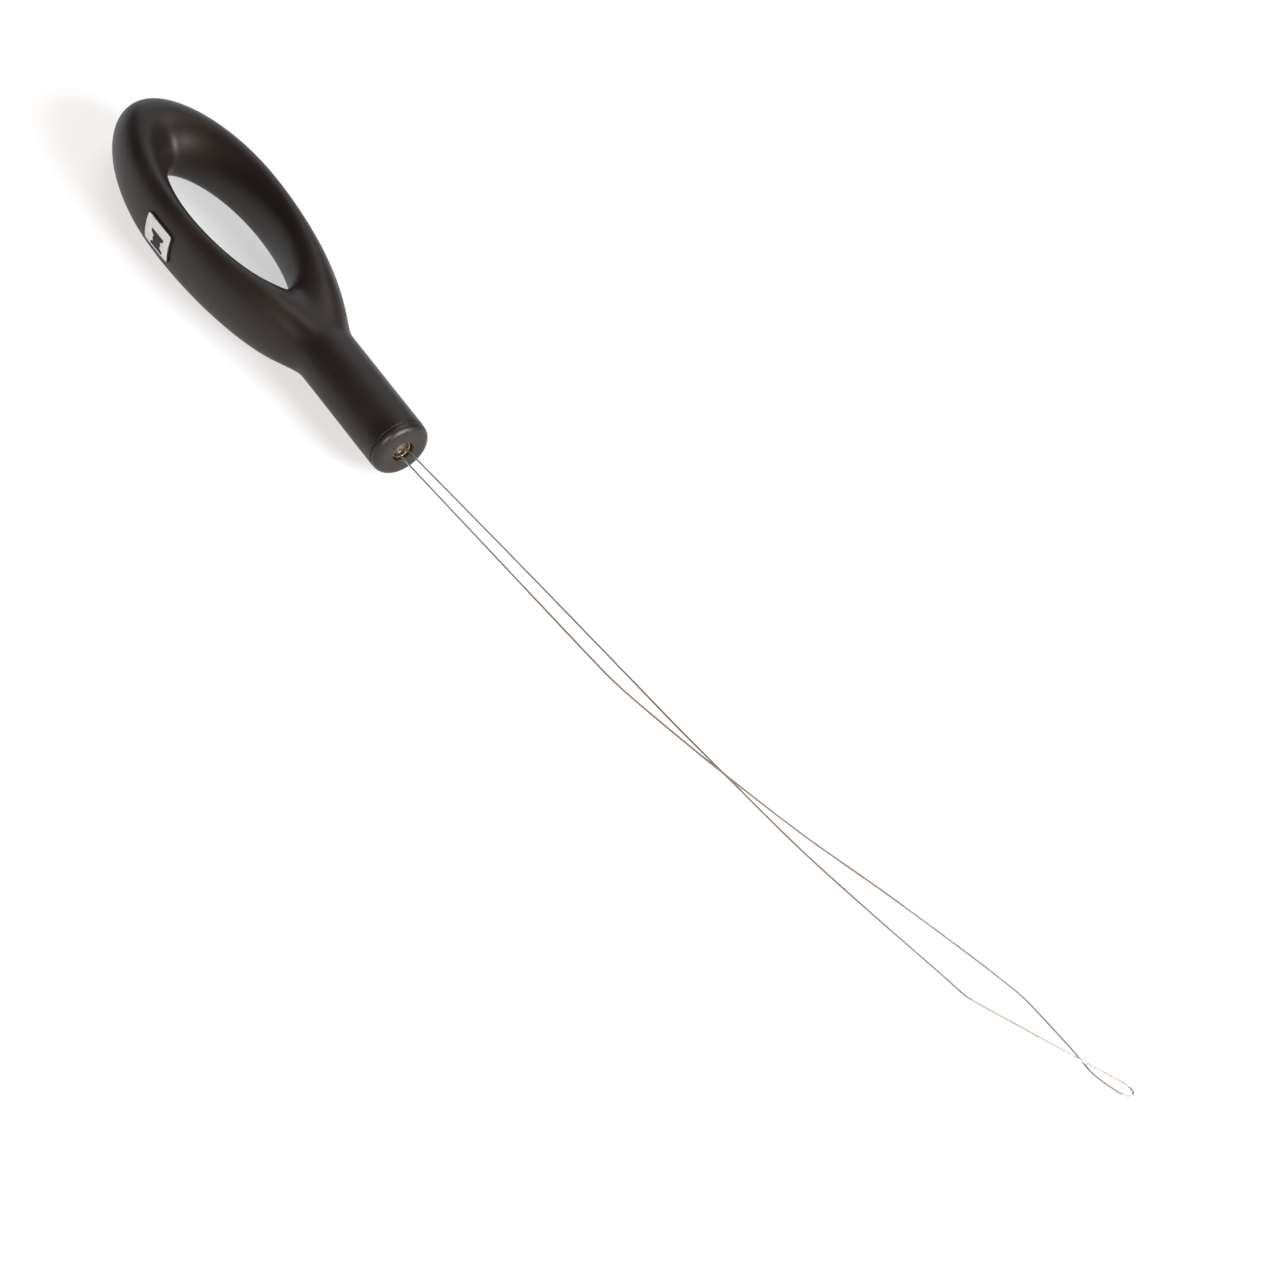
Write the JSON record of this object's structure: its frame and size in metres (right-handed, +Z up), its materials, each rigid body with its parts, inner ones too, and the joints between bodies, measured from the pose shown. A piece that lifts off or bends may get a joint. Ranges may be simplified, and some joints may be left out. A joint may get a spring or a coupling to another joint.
{
  "type": "needle threader",
  "caption": "Wire-loop threader: a soft-skinned finger-ring handle with a round stem that carries a long springy wire loop ending in a small eye.",
  "frame": {"origin": "middle of the object's bounding box in plan, on the surface that the tool lies on", "axes": "+X along the stem towards the wire's tip, +Z up through the finger hole, the wire bows towards +Y"},
  "size_m": [0.1876, 0.0337, 0.0098],
  "materials": {
    "grip_rubber": "soft-touch moulded black elastomer, satin",
    "core_nylon": "black glass-filled nylon, fine moulded texture",
    "ferrule_brass": "drawn brass tube, slightly tarnished",
    "bond_resin": "set amber resin",
    "wire_steel": "bright drawn spring-steel wire",
    "badge_film": "off-white printed film with a dark edge"
  },
  "bodies": {
    "handle": {"grip_skin": "grip_rubber", "handle_core": "core_nylon", "end_cap": "core_nylon", "ferrule": "ferrule_brass", "bond_plug": "bond_resin", "wire_tail_left": "wire_steel", "wire_tail_right": "wire_steel", "badge": "badge_film"},
    "wire": {"wire_loop": "wire_steel"}
  },
  "joints": [
    {"name": "wire_side_bend", "type": "hinge", "parent": "handle", "child": "wire", "pos_m": [-0.0278, -0.00732, 0.0049], "axis": [0, 0, 1], "range_deg": [-20, 20], "stiffness_Nm_per_rad": 0.0019}
  ]
}
